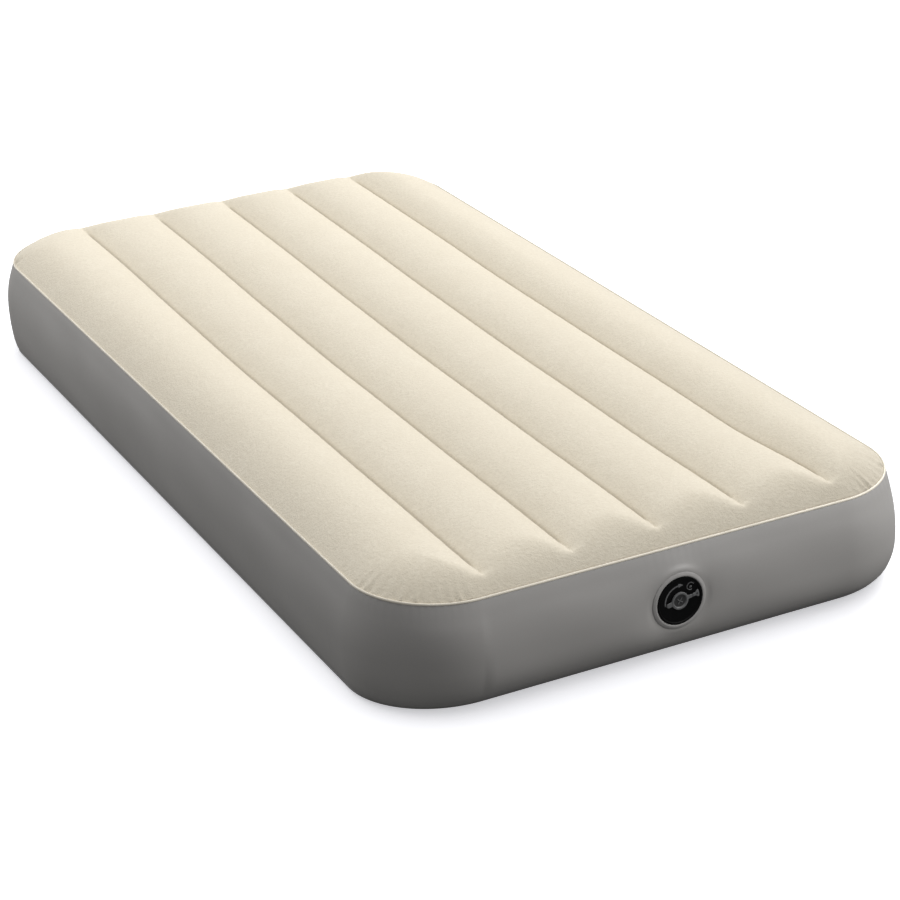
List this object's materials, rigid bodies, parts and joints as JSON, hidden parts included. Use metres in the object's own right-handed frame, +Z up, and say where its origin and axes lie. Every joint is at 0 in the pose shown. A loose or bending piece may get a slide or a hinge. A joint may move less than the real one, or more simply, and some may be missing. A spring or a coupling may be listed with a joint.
{
  "type": "air mattress",
  "caption": "Single inflatable air mattress with a flocked grooved top over inner beams, a bulging vinyl side wall and a screw-in two-in-one valve in one end.",
  "frame": {"origin": "on the floor, under the middle of the inflated bed", "axes": "+Z up; +Y along the bed's length, away from the end that holds the valve; +X across it, to the right when facing the valve end"},
  "size_m": [0.99, 1.91, 0.226],
  "materials": {
    "flocked_top": "soft flocked pile on vinyl, matt cream",
    "wall_vinyl": "warm grey coated sheet, satin",
    "base_vinyl": "grey coated sheet, fine leather-grain emboss",
    "seam_vinyl": "pale welded bead",
    "beam_fibre": "open polyester yarns",
    "collar_vinyl": "soft grey moulded ring, satin",
    "valve_black": "black moulded plastic, semi-gloss",
    "cap_grey": "dark grey soft plastic",
    "valve_rubber": "black rubber, matt"
  },
  "bodies": {
    "bed": {"top_sheet": "flocked_top", "side_wall": "wall_vinyl", "bottom_sheet": "base_vinyl", "top_seam": "seam_vinyl", "bottom_seam": "base_vinyl", "wall_lap_strip": "wall_vinyl", "valve_collar": "collar_vinyl", "valve_patch": "wall_vinyl", "valve_base": "valve_black", "beam_top_strip_1": "base_vinyl", "beam_web_1": "beam_fibre", "beam_bottom_strip_1": "base_vinyl", "beam_top_strip_2": "base_vinyl", "beam_web_2": "beam_fibre", "beam_bottom_strip_2": "base_vinyl", "beam_top_strip_3": "base_vinyl", "beam_web_3": "beam_fibre", "beam_bottom_strip_3": "base_vinyl", "beam_top_strip_4": "base_vinyl", "beam_web_4": "beam_fibre", "beam_bottom_strip_4": "base_vinyl", "beam_top_strip_5": "base_vinyl", "beam_web_5": "beam_fibre", "beam_bottom_strip_5": "base_vinyl"},
    "gasket_ring": {"valve_gasket": "valve_rubber"},
    "screw_insert": {"valve_insert": "valve_black", "cap_strap_anchor": "cap_grey", "flap_clip": "valve_black"},
    "cap": {"inflation_cap": "cap_grey"},
    "flap": {"check_flap": "valve_rubber"}
  },
  "joints": [
    {"name": "insert_travel", "type": "slide", "parent": "bed", "child": "gasket_ring", "axis": [0, -1, 0], "range_m": [0, 0.0076]},
    {"name": "insert_turn", "type": "hinge", "parent": "gasket_ring", "child": "screw_insert", "pos_m": [0.008, -0.949, 0.1], "axis": [0, -1, 0], "range_deg": [0, 540]},
    {"name": "cap_open", "type": "hinge", "parent": "screw_insert", "child": "cap", "pos_m": [0.03016, -0.9509, 0.10391], "axis": [-0.1736, 0, 0.9848], "range_deg": [0, 120]},
    {"name": "flap_open", "type": "hinge", "parent": "screw_insert", "child": "flap", "pos_m": [0.008, -0.9302, 0.1142], "axis": [1, 0, 0], "range_deg": [0, 60], "stiffness_Nm_per_rad": 0.001}
  ],
  "couplings": [
    {"joint": "insert_travel", "follows": "insert_turn", "m_per_rad": 0.00079577}
  ]
}
